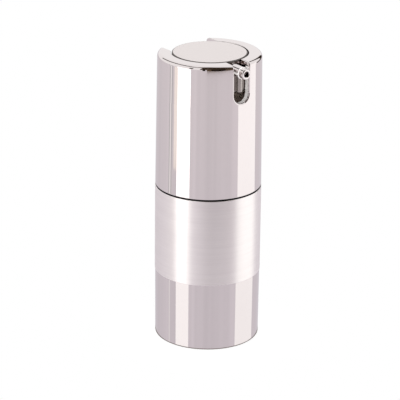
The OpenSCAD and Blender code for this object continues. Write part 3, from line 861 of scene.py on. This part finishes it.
@dataclass
class Head:
    """Button plate, actuator and nozzle, which go down together.

    Sizes that end in _y are distances from the bottle's axis along the nozzle.
    """

    button_r: float = 11.6
    top_z: float = 92.0
    cut: float = 0.38
    plate_z: float = 91.3
    ledge_z: float = 88.8
    skirt_z: float = 83.0
    skirt_r: float = 13.9
    wall: float = 1.2
    roof_z: float = 90.0
    boss_z: float = 74.5325
    boss_r: float = 4.6
    flange_r: float = 5.6
    flange_t: float = 1.2
    nose_r: float = 4.2
    nose_h: float = 1.5
    socket_r: float = 2.6
    socket_z: float = 80.5325
    channel_r: float = 1.2
    nozzle_z: float = 89.2
    barrel_r: float = 2.05
    barrel_end_r: float = 1.85
    barrel_y: float = 16.2
    tip_y: float = 18.0
    tip_r: float = 1.65
    orifice_r: float = 0.87
    spigot_r: float = 1.2
    spigot_y: float = 15.0
    web_half: float = 0.9
    web_y: float = 15.5
    web_round: float = 0.2
    web_steps: int = 6
    nose_round: float = 0.85
    fine_round: float = 0.1
    skirt_round: float = 0.15
    flange_round: float = 0.2
    barrel_round: float = 0.2
    tip_foot_round: float = 0.15
    tip_round: float = 0.3
    mouth_round: float = 0.25
    root_depth: float = 1.0
    # Where the bare finish, the painted shade and the painted reflection take over from the mirror.
    bare_r: float = 12.75
    bare_z: float = 87.8
    painted_shade_z: float = 88.5
    painted_reflection_r: float = 13.92
    painted_reflection_z: float = 86.9

    def shell(self) -> Array:
        """Revolve the actuator's pedestal, skirt, roof and hollow boss.

        Returns:
            A grid of points that wraps along its columns.
        """
        inner_r, hollow_r = self.skirt_r - self.wall, self.button_r - self.wall
        nose_z, q = self.boss_z - self.nose_h, self.flange_round
        return revolved(rounded([
            (0, self.plate_z, 0), (self.button_r, self.plate_z, 0),
            (self.button_r, self.ledge_z, self.fine_round), (self.skirt_r, self.ledge_z, self.wall / 2),
            (self.skirt_r, self.skirt_z, self.skirt_round),
            (inner_r, self.skirt_z, self.skirt_round), (inner_r, self.ledge_z - self.wall, 0),
            (hollow_r, self.ledge_z - self.wall, 0), (hollow_r, self.roof_z, 0),
            (self.boss_r, self.roof_z, 0), (self.boss_r, self.boss_z + self.flange_t, 0),
            (self.flange_r, self.boss_z + self.flange_t, q), (self.flange_r, self.boss_z, q),
            (self.nose_r, self.boss_z, 0), (self.nose_r, nose_z, q), (self.socket_r, nose_z, self.fine_round),
            (self.socket_r, self.socket_z, 0), (self.channel_r, self.socket_z, 0),
            (self.channel_r, self.nozzle_z, 0), (0, self.nozzle_z, 0),
        ]))

    def barrel(self) -> Array:
        """Revolve the tapered barrel with its bore about the nozzle's axis, from inside the boss.

        Returns:
            A grid of points that wraps both ways.
        """
        root_y = self.boss_r - self.root_depth
        return on_nozzle(rounded([
            (self.orifice_r, root_y, 0), (self.barrel_r, root_y, 0),
            (self.barrel_r, self.button_r, 0), (self.barrel_end_r, self.barrel_y, self.barrel_round),
            (self.orifice_r, self.barrel_y, 0),
        ], closed=True), self.nozzle_z)

    def web(self) -> Array:
        """Stack rounded outlines into the key web under the barrel.

        Each outline is a strip with a rounded nose. At round (1 - cos c) above the foot it is
        inset by round (1 - sin c), for c from 0 to 90 degrees, which rounds the lower edge. The
        first outline and the last are points, which close the ends.

        Returns:
            A grid of points that wraps along its columns.
        """
        back, q = self.skirt_r - self.wall / 2, self.web_round
        middle = np.array([0, -(back + self.web_y) / 2])
        c = np.radians(np.linspace(0, 90, self.web_steps))
        inset = np.concatenate([q * (1 - np.sin(c)), [0, 0]])
        rise = self.skirt_z + q * (1 - np.cos(c))
        height = np.concatenate([rise, [self.skirt_z + q + GUARD, self.nozzle_z]])
        rings = []
        for shrink, z in zip(inset, height):
            half, front, nose = self.web_half - shrink, self.web_y - shrink, self.nose_round - shrink
            ring = rounded([
                (half, -back, 0), (half, -front, nose), (-half, -front, nose), (-half, -back, 0)
            ], closed=True, steps=8)
            rings.append(np.column_stack([ring, np.full(len(ring), z)]))
        tips = [np.tile([*middle, z], (len(rings[0]), 1)) for z in (self.skirt_z, self.nozzle_z)]
        return np.stack([tips[0], *rings, tips[1]])

    def build(self) -> tuple[Piece, ...]:
        """Make the plate, the actuator, its key web and the nozzle's tip.

        Returns:
            The four pieces.
        """
        plate = revolved(rounded([
            (0, self.plate_z, 0), (self.button_r, self.plate_z, 0), (self.button_r, self.top_z, self.cut),
            (0, self.top_z, 0),
        ]))
        tip = on_nozzle(rounded([
            (self.orifice_r, self.spigot_y, 0), (self.spigot_r, self.spigot_y, 0),
            (self.spigot_r, self.barrel_y, 0), (self.tip_r, self.barrel_y, self.tip_foot_round),
            (self.tip_r, self.tip_y, self.tip_round), (self.orifice_r, self.tip_y, self.mouth_round),
        ], closed=True), self.nozzle_z)
        actuator = Skin().add(self.shell(), wrap_columns=True)
        actuator.add(self.barrel(), wrap_rows=True, wrap_columns=True)
        return (
            Skin().add(plate, wrap_columns=True).sew("press_plate"),
            actuator.sew("press_actuator"),
            Skin().add(self.web(), wrap_columns=True).sew("press_web"),
            Skin().add(tip, wrap_rows=True, wrap_columns=True).sew("spout_tip"),
        )

    def dress(self, nodes: Nodes) -> None:
        """Finish the head's pieces.

        On the nozzle's barrel the faces at the sides have their middles past painted_reflection_r and get the
        painted reflection, and those along its top and bottom don't and stay a mirror.

        Args:
            nodes: The part's nodes by name.
        """
        plate, actuator, web, tip = self.build()
        fit(plate, "head", Coat.PLATE, "plate_aluminium", "button_plate")
        fit(actuator, "head", Coat.MIRROR, "mirror_plastic", "actuator")
        # The key web down in the slot gets the darker mirror: painted shade.
        fit(web, "head", Coat.THIN, "mirror_plastic", "actuator")
        edge_shade_r = self.button_r - self.cut - NEAR
        recoat(actuator, Coat.BARE, lambda x, y, r, z: (r < self.bare_r) & (z < self.bare_z))
        # Below painted_shade_z the head's outer faces get the darker mirror: painted shade.
        recoat(actuator, Coat.THIN, lambda x, y, r, z: (r > self.bare_r) & (z < self.painted_shade_z))
        # The barrel's sides get the paler mirror: painted reflection.
        recoat(actuator, Coat.PAINTED_REFLECTION, lambda x, y, r, z: (r > self.painted_reflection_r) & (z > self.painted_reflection_z))
        # The plate's chamfered edge gets a dark line: painted shade.
        recoat(plate, Coat.CUT, lambda x, y, r, z: r > edge_shade_r)
        fit(tip, "head", Coat.MIRROR, "mirror_plastic", "nozzle_tip")
        for name in ("stem", "piston_rod"):
            coat(nodes[name], Coat.WHITE)


@dataclass
class Pump:
    """Container, dosing pump and return spring inside the bottle."""

    wire_r: float = 0.35
    coil_r: float = 4.7
    low_z: float = 63.9325
    high_z: float = 74.1325
    end_rise: float = 1.25
    live_turns: int = 3
    turn_steps: int = 48
    wire_steps: int = 14
    seat_z: float = 63.5325
    room: float = 11.0
    stroke: float = 3.0

    def spring(self) -> Array:
        """Carry a circle along the coil.

        After t turns the centre is at (coil_r cos 2 pi t, coil_r sin 2 pi t, z), where z rises by
        end_rise in the first and last turn and evenly in between. The circle stands upright, and
        each end closes on its centre.

        Returns:
            A grid of points that wraps along its columns.
        """
        turns = self.live_turns + 2
        t = np.linspace(0, turns, turns * self.turn_steps + 1)
        live = (self.high_z - self.low_z - 2 * self.end_rise) / self.live_turns
        z = (
            self.low_z + self.end_rise * np.minimum(t, 1) + live * (t - 1).clip(0, self.live_turns)
            + self.end_rise * (t - turns + 1).clip(0)
        )
        t, z = (np.concatenate([line[:1], line, line[-1:]])[:, None] for line in (t, z))
        size = np.full(t.shape, self.wire_r)
        size[[0, -1]] = 0
        b = np.linspace(0, 2 * math.pi, self.wire_steps, endpoint=False)[None]
        r, turned = self.coil_r + size * np.cos(b), 2 * math.pi * t
        return np.stack([r * np.cos(turned), r * np.sin(turned), z + size * np.sin(b)], -1)

    def dress(self, nodes: Nodes) -> None:
        """Finish the inner pieces and the coil spring.

        Args:
            nodes: The part's nodes by name.
        """
        spring = Skin().add(self.spring(), wrap_columns=True).sew("coil_spring", crease=60)
        fit(spring, "root", Coat.STEEL, "spring_steel", "return_spring")
        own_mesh(spring)
        for finish, names in {
            Coat.WHITE: ("container", "base_plug", "screw_closure", "pump_housing", "ball_cage", "pump_cap"),
            Coat.PISTON: ("follower_piston",),
            Coat.RUBBER: ("neck_gasket", "dosing_seal"),
            Coat.STEEL: ("inlet_ball",),
        }.items():
            for name in names:
                coat(nodes[name], finish)


@dataclass(frozen=True)
class Glow:
    """Light of a card.

    Attributes:
        colour: sRGB hex.
        low: Strength at the card's lower mark.
        high: Strength at its upper mark.
        uneven: How much it swings from place to place, as a share of itself.
        foot: sRGB hex at the lower mark, if it differs.
    """

    colour: str
    low: float
    high: float
    uneven: float = 0.0
    foot: str = ""


class Card(Enum):
    """Surfaces that stand round the bottle and show in its mirror.

    Softboxes make the bright stripes, strips and lines the thin ones, and the table the grey
    between them. The room, its rods and its shade make the dark line under the rim.
    """

    SOFTBOX = Glow("ffffff", 1.18, 1.7)
    WARM = Glow("ffffff", 1.1, 1.2)
    DIM = Glow("fff8f2", 0.96, 1.06)
    STRIP = Glow("ffffff", 0.88, 1.0)
    LINE = Glow("ffffff", 0.55, 0.5)
    TABLE = Glow("fffaff", 0.69, 0.725, 0.06, foot="fdf8ff")
    ROOM = Glow("ffdcbc", 0.14, 0.05, 0.9)
    ROD = Glow("ffdcbc", 0.04, 0.04, 0.5)
    SHADE = Glow("ffdcbc", 0.008, 0.02, 0.5)
    BELOW = Glow("fdf8ff", 0.7, 0.7)
    # A dim glow that the mirror shows at the foot: painted shadow of the floor under the bottle.
    CONTACT_SHADOW = Glow("fff6f2", 0.3, 0.3)


@dataclass(frozen=True)
class Panel:
    """A card that stands round the bottle.

    Attributes:
        name: Name of the card.
        card: Its surface.
        start: Where it starts, in degrees to the right of the camera.
        end: Where it ends.
        path: Its outline from below, as distance from the axis and height. The first two points
            are where its light starts and stops to rise.
    """

    name: str
    card: Card
    start: float
    end: float
    path: tuple[tuple[float, float], ...]


@dataclass(frozen=True)
class Bar:
    """A straight dark bar of the studio that shows as a thin line in the mirror.

    Attributes:
        name: Name of the bar.
        start: Its first end, as degrees to the right of the camera and degrees above level.
        end: Its other end.
        thick: Its thickness.
        reach: Distance of its ends from the middle of the rim.
    """

    name: str
    start: tuple[float, float]
    end: tuple[float, float]
    thick: float
    reach: float = 370.0


@dataclass(frozen=True)
class Lamp:
    """A square lamp that looks at the bottle's middle.

    Attributes:
        name: Name of the lamp.
        azimuth: Degrees to the right of the camera.
        height: Its height.
        size: Its side.
        power: Its watts.
        reach: Its distance from the bottle's axis.
    """

    name: str
    azimuth: float
    height: float
    size: float
    power: float
    reach: float = 500.0


@dataclass
class Studio:
    """Floor, cards, lamps, white surroundings and the camera."""

    # Azimuth and pitch of the camera in degrees, and its roll in radians.
    turn: float = -37.8
    pitch: float = 20.54
    roll: float = 0.011
    distance: float = 687.0
    aim_z: float = 43.8
    aim_left: float = 2.49
    lens: float = 198.4
    sensor: float = 36.0
    floor_r: float = 34.0
    floor_fade: float = 24.0
    floor_z: float = -0.05
    floor_grey: float = 0.3
    floor_glow: float = 0.8
    soft_light: float = 0.55
    page_light: float = 1.0
    middle_z: float = 45.0
    rim_z: float = 91.0
    # A card that starts below long_card_z goes on down to card_foot_z.
    long_card_z: float = -100.0
    card_foot_z: float = -300.0
    arc_steps: int = 40
    bar_marks: tuple[tuple[float, float], ...] = ((0, -100), (0, 500))
    patches_per_m: float = 16.0
    patch_stretch: Triple = (1, 1, 0.15)
    # Degrees to the right of the camera, and the factor on the table's light there.
    sweep: tuple[tuple[float, float], ...] = (
        (-180, 0.98), (-140, 0.97), (-98, 1.06), (-74, 1.0), (-38, 1.06), (-30, 1.1), (-24, 1.03), (5, 0.985),
        (35, 1.01), (48, 1.03), (58, 1.09), (66, 1.07), (118, 1.03), (180, 1.0),
    )
    panels: tuple[Panel, ...] = (
        Panel("card_table", Card.TABLE, -180, 180, ((440, -160), (440, -40), (440, 110))),
        Panel("card_left", Card.SOFTBOX, -72, -40.5, ((400, -145), (400, -75), (400, 140))),
        Panel("card_left_dim", Card.DIM, -81, -70, ((405, -75), (405, -60), (405, 60))),
        Panel("card_left_strip", Card.STRIP, -92, -89.5, ((400, -160), (400, -40), (400, 60))),
        Panel("card_left_line", Card.LINE, -88, -86, ((400, -90), (400, -40), (400, 110))),
        Panel("card_left_end", Card.LINE, -94.5, -92.5, ((400, -90), (400, -40), (400, 110))),
        Panel("card_right", Card.WARM, 65, 119, ((400, -160), (400, -60), (400, 140))),
        Panel("card_below", Card.BELOW, -180, 180, ((0, -300.5), (440, -300))),
        # Dim disc under the foot, seen only in the mirror: painted contact shadow.
        Panel("card_contact_shadow", Card.CONTACT_SHADOW, -180, 180, ((0, -0.02), (17.1, -0.01))),
        Panel("card_room", Card.ROOM, -6, 60, ((380, -13.9), (380, 330), (0, 640))),
        Panel("card_shade", Card.SHADE, 3.5, 34, ((375, 4), (375, 200), (375, 300))),
        Panel("card_shade_low", Card.SHADE, 3.5, 15, ((374, -9), (374, 30), (374, 60))),
        Panel("card_shade_left", Card.SHADE, -15, -9, ((375, 5), (375, 200), (375, 300))),
        Panel("card_room_left", Card.ROOM, -21, -6, ((380, 160), (380, 330), (0, 640))),
        Panel("card_room_roof", Card.ROOM, -50, -21, ((240, 460), (120, 550), (0, 640))),
    )
    bars: tuple[Bar, ...] = (
        Bar("bar_left", (-142, 25), (-44, 60), 68),
        Bar("bar_stand", (148, -8), (144, 44), 90),
        Bar("bar_edge", (119, -6), (150, -2), 70),
        Bar("bar_low", (-41, 12), (-42, 36), 50),
    )
    lamps: tuple[Lamp, ...] = (
        Lamp("lamp_left", -60, 420, 350, 0.5),
        Lamp("lamp_front", 4, 235, 150, 1.6),
    )

    def glow(self, panel: Panel) -> Material:
        """Make the material of a card, which shines from its low strength up to its high one.

        The table's strength also follows the sweep round the bottle.

        Args:
            panel: The card.

        Returns:
            The material.
        """
        light, marks = panel.card.value, panel.path
        foot, colour = linear(light.foot or light.colour), linear(light.colour)
        material = bpy.data.materials.new(panel.name + "_glow")
        tree = blank(material)
        spot = put(tree, "TexCoord").outputs["Object"]
        axes = put(tree, "SeparateXYZ", links={0: spot}).outputs
        span = {"From Min": marks[0][1] * MM, "From Max": marks[1][1] * MM}
        height = put(tree, "MapRange", span, {"Value": axes["Z"]}).outputs[0]
        hues = {COLOUR_A: foot, COLOUR_B: colour}
        hue = put(tree, "Mix", hues, {0: height}, data_type="RGBA").outputs[COLOUR_OUT]
        span = {"To Min": light.low, "To Max": light.high}
        level = put(tree, "MapRange", span, {"Value": height}).outputs[0]
        pulled = put(tree, "VectorMath", {1: self.patch_stretch}, {0: spot}, operation="MULTIPLY")
        sizes = {"Scale": self.patches_per_m, "Detail": 3.0}
        noise = put(tree, "TexNoise", sizes, {"Vector": pulled.outputs[0]}).outputs[0]
        span = {"To Min": 1 - light.uneven, "To Max": 1 + light.uneven}
        uneven = put(tree, "MapRange", span, {"Value": noise}).outputs[0]
        level = put(tree, "Math", links={0: level, 1: uneven}, operation="MULTIPLY").outputs[0]
        if panel.card is Card.TABLE:
            level = self.swept(tree, axes, level)
        shine = put(tree, "Emission", links={"Color": hue, "Strength": level})
        put(tree, "OutputMaterial", links={"Surface": shine.outputs[0]})
        return material

    def swept(self, tree: Tree, axes: Sequence[Socket], level: Socket) -> Socket:
        """Multiply a level by the sweep's factor at this angle round the bottle.

        With the camera's azimuth turned away, the angle is the arctangent of x over -y. A ramp
        holds half of each factor at the angle's share of a full turn.

        Args:
            tree: The card's nodes.
            axes: Outputs with x, y and z.
            level: The level so far.

        Returns:
            The new level.
        """
        spot = put(tree, "CombineXYZ", links={"X": axes[0], "Y": axes[1]}).outputs[0]
        turn = {"Angle": -math.radians(self.turn)}
        turned = put(tree, "VectorRotate", turn, {"Vector": spot}, rotation_type="Z_AXIS").outputs[0]
        x, y, _ = put(tree, "SeparateXYZ", links={0: turned}).outputs
        back = put(tree, "Math", {1: -1.0}, {0: y}, operation="MULTIPLY").outputs[0]
        angle = put(tree, "Math", links={0: x, 1: back}, operation="ARCTAN2").outputs[0]
        span = {"From Min": -math.pi, "From Max": math.pi}
        share = put(tree, "MapRange", span, {"Value": angle}).outputs[0]
        ramp = put(tree, "ValToRGB", links={0: share})
        stops = ramp.color_ramp.elements
        for degrees, _ in self.sweep[1:-1]:
            stops.new((degrees + 180) / 360)
        for stop, (_, factor) in zip(stops, self.sweep):
            stop.color = (factor / 2, factor / 2, factor / 2, 1)
        ramp.color_ramp.interpolation = "EASE"
        twice = put(tree, "Math", {1: 2.0}, {0: ramp.outputs[0]}, operation="MULTIPLY").outputs[0]
        return put(tree, "Math", links={0: level, 1: twice}, operation="MULTIPLY").outputs[0]

    def away(self, azimuth: Array | float, pitch: Array | float) -> Array:
        """Direction from the bottle: (sin t cos e, -cos t cos e, sin e).

        Here e is the pitch, and t is the azimuth plus the camera's own.

        Args:
            azimuth: Degrees to the right of the camera.
            pitch: Degrees above level.

        Returns:
            A unit vector, or one for each pair of angles.
        """
        t, e = np.radians(azimuth) + math.radians(self.turn), np.radians(pitch)
        return np.stack([np.sin(t) * np.cos(e), -np.cos(t) * np.cos(e), np.sin(e)], -1)

    def stand(self, name: str, grid: Array, material: Material) -> None:
        """Stand a card where only mirrors see it.

        Args:
            name: Name of the card.
            grid: Its points.
            material: Its material.
        """
        card = Skin().add(grid).sew(name)
        card.data.materials.append(material)
        card.visible_camera = card.visible_diffuse = card.visible_shadow = False

    def cards(self) -> None:
        """Stand each panel on its arc round the bottle."""
        for panel in self.panels:
            t = np.radians(np.linspace(panel.start, panel.end, self.arc_steps) + self.turn)
            foot = ((panel.path[0][0], self.card_foot_z),) if panel.path[0][1] < self.long_card_z else ()
            reach, z = np.array(foot + panel.path).T[:, :, None]
            grid = np.stack([reach * np.sin(t), -reach * np.cos(t), z + 0 * t], -1)
            self.stand(panel.name, grid, self.glow(panel))

    def rods(self) -> None:
        """Hang the dark bars.

        A bar's ends lie at its reach from the rim's middle, and its width lies across both its
        length and the line of sight.
        """
        for bar in self.bars:
            ends = bar.reach * self.away(*np.transpose([bar.start, bar.end]))
            across = np.cross(ends[1] - ends[0], ends[0] + ends[1])
            across *= bar.thick / 2 / np.linalg.norm(across)
            grid = np.stack([ends - across, ends + across]) + (0, 0, self.rim_z)
            self.stand(bar.name, grid, self.glow(Panel(bar.name, Card.ROD, 0, 0, self.bar_marks)))

    def floor(self) -> None:
        """Lay a pale round floor that fades out, so that only the bottle's shadow shows on it."""
        path = np.stack([np.linspace(0, self.floor_r, 30), np.full(30, self.floor_z)], -1)
        floor = Skin().add(revolved(path, columns=96), wrap_columns=True).sew("floor_pale")
        material = bpy.data.materials.new("pale_paper_floor")
        tree = blank(material)
        spot = put(tree, "TexCoord").outputs["Object"]
        reach = put(tree, "VectorMath", links={0: spot}, operation="LENGTH").outputs["Value"]
        span = {"From Min": self.floor_fade * MM, "From Max": self.floor_r * MM}
        smooth = {"interpolation_type": "SMOOTHSTEP"}
        fade = put(tree, "MapRange", span, {"Value": reach}, **smooth).outputs[0]
        lit = put(tree, "BsdfDiffuse", {"Color": (*(self.floor_grey,) * 3, 1)}).outputs[0]
        own = put(tree, "Emission", {"Strength": self.floor_glow}).outputs[0]
        paper = put(tree, "AddShader", links={0: lit, 1: own}).outputs[0]
        clear = put(tree, "BsdfTransparent").outputs[0]
        mix = put(tree, "MixShader", links={0: fade, 1: paper, 2: clear})
        put(tree, "OutputMaterial", links={"Surface": mix.outputs[0]})
        floor.data.materials.append(material)
        floor.visible_glossy = False

    def world(self) -> None:
        """Surround the bottle with white for the eye and for mirrors, and soft light for the rest."""
        world = bpy.data.worlds.new("white_surroundings")
        bpy.context.scene.world = world
        tree = blank(world)
        path = put(tree, "LightPath").outputs
        seen = path["Is Camera Ray"]
        for kind in ("Is Glossy Ray", "Is Transmission Ray"):
            seen = put(tree, "Math", links={0: seen, 1: path[kind]}, operation="MAXIMUM").outputs[0]
        soft, page = (
            put(tree, "Background", {"Color": (1, 1, 1, 1), "Strength": strength}).outputs[0]
            for strength in (self.soft_light, self.page_light)
        )
        mix = put(tree, "MixShader", links={0: seen, 1: soft, 2: page})
        put(tree, "OutputWorld", links={"Surface": mix.outputs[0]})

    def hang(self, lamp: Lamp) -> None:
        """Hang a lamp that looks at the bottle's middle and stays out of its mirror.

        Args:
            lamp: The lamp.
        """
        light = bpy.data.lights.new(lamp.name, "AREA")
        light.size, light.energy = lamp.size * MM, lamp.power
        hung = bpy.data.objects.new(lamp.name, light)
        bpy.context.scene.collection.objects.link(hung)
        t = math.radians(lamp.azimuth + self.turn)
        hung.location = Vector((lamp.reach * math.sin(t), -lamp.reach * math.cos(t), lamp.height)) * MM
        aim = Vector((0, 0, self.middle_z * MM)) - hung.location
        hung.rotation_euler = aim.to_track_quat("-Z", "Y").to_euler()
        hung.visible_glossy = False

    def camera(self) -> None:
        """Stand the camera where the photograph was taken from.

        It lies at its distance in the direction that its azimuth and pitch give, aims a little
        left of the axis and leans by the roll.
        """
        away = Vector(self.away(0, self.pitch))
        t = math.radians(self.turn)
        right = Vector((math.cos(t), math.sin(t), 0))
        aim = Vector((0, 0, self.aim_z)) - right * self.aim_left
        lens = bpy.data.cameras.new("photo_camera")
        lens.lens, lens.sensor_width = self.lens, self.sensor
        lens.clip_start, lens.clip_end = 0.01, 10.0
        camera = bpy.data.objects.new("photo_camera", lens)
        bpy.context.scene.collection.objects.link(camera)
        frame = Matrix((right, away.cross(right), away)).transposed()
        turned = frame @ Matrix.Rotation(self.roll, 3, "Z")
        camera.matrix_world = Matrix.Translation((aim + away * self.distance) * MM) @ turned.to_4x4()
        bpy.context.scene.camera = camera

    def build(self) -> None:
        """Set up everything that isn't part of the bottle."""
        self.camera()
        self.floor()
        self.cards()
        self.rods()
        self.world()
        for lamp in self.lamps:
            self.hang(lamp)
        bpy.context.scene.view_settings.view_transform = "Standard"


def main() -> None:
    """Dress the bottle piece by piece and set up the studio."""
    logging.basicConfig(level=logging.INFO, format="%(name)s %(message)s")
    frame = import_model()
    for assembly in (LowerBody(), Sleeve(), Head(), Pump()):
        assembly.dress(frame["nodes"])
        LOG.info("%s dressed", type(assembly).__name__)
    Studio().build()


if __name__ == "__main__":
    main()
